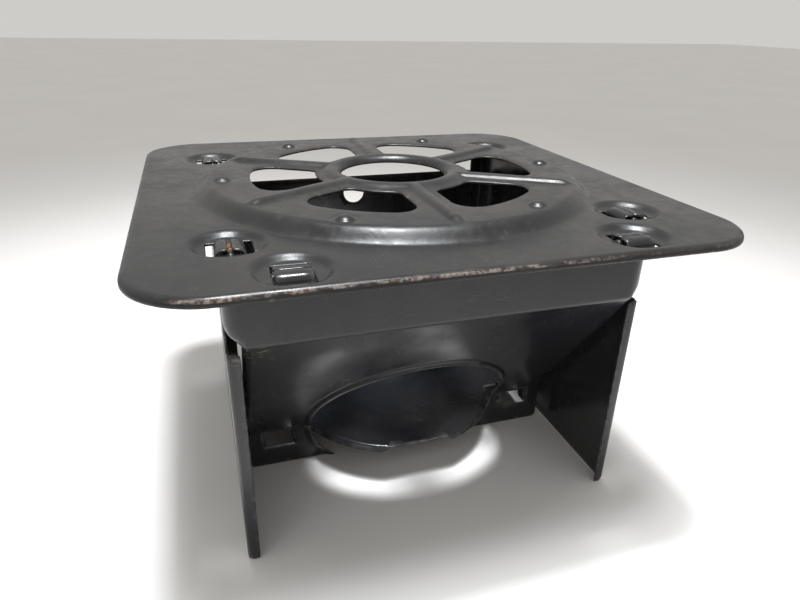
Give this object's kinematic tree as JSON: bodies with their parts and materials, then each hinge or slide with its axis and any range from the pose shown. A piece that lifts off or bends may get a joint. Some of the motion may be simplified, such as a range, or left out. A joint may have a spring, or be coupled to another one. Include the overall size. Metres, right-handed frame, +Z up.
{
  "type": "folding can-fuel stove",
  "caption": "Square folding sheet-steel stove with a spoked burner plate, hinged side legs, a sloping arched front panel, a can shelf and a rear panel.",
  "frame": {"origin": "middle of the stove at floor level, under the burner hole", "axes": "+Z up through the burner, +X to the stove's right, and the open front with the arch faces -Y"},
  "size_m": [0.178, 0.178, 0.1101],
  "materials": {
    "plate_black": "satin black paint, worn along the rim",
    "panel_black": "glossy black paint"
  },
  "bodies": {
    "root": {"top_plate": "plate_black"},
    "left_leg": {"left_leg": "panel_black"},
    "right_leg": {"right_leg": "panel_black"},
    "front_panel": {"front_panel": "panel_black"},
    "can_shelf": {"can_shelf": "panel_black"},
    "rear_panel": {"rear_panel": "panel_black"}
  },
  "joints": [
    {"name": "front_panel_swing", "type": "hinge", "parent": "root", "child": "front_panel", "pos_m": [0, -0.076, 0.1027], "axis": [-1, 0, 0], "range_deg": [0, 90]},
    {"name": "left_leg_splay", "type": "hinge", "parent": "root", "child": "left_leg", "pos_m": [-0.0625, 0, 0.1027], "axis": [0, 1, 0], "range_deg": [0, 10]},
    {"name": "right_leg_splay", "type": "hinge", "parent": "root", "child": "right_leg", "pos_m": [0.0625, 0, 0.1027], "axis": [0, -1, 0], "range_deg": [0, 10]},
    {"name": "shelf_fold", "type": "hinge", "parent": "front_panel", "child": "can_shelf", "pos_m": [0, -0.0146, 0.0169], "axis": [1, 0, 0], "range_deg": [0, 54]},
    {"name": "rear_panel_fold", "type": "hinge", "parent": "can_shelf", "child": "rear_panel", "pos_m": [0, 0.0614, 0.0169], "axis": [1, 0, 0], "range_deg": [0, 54]}
  ],
  "couplings": [
    {"joint": "rear_panel_fold", "follows": "shelf_fold", "ratio": 1}
  ]
}
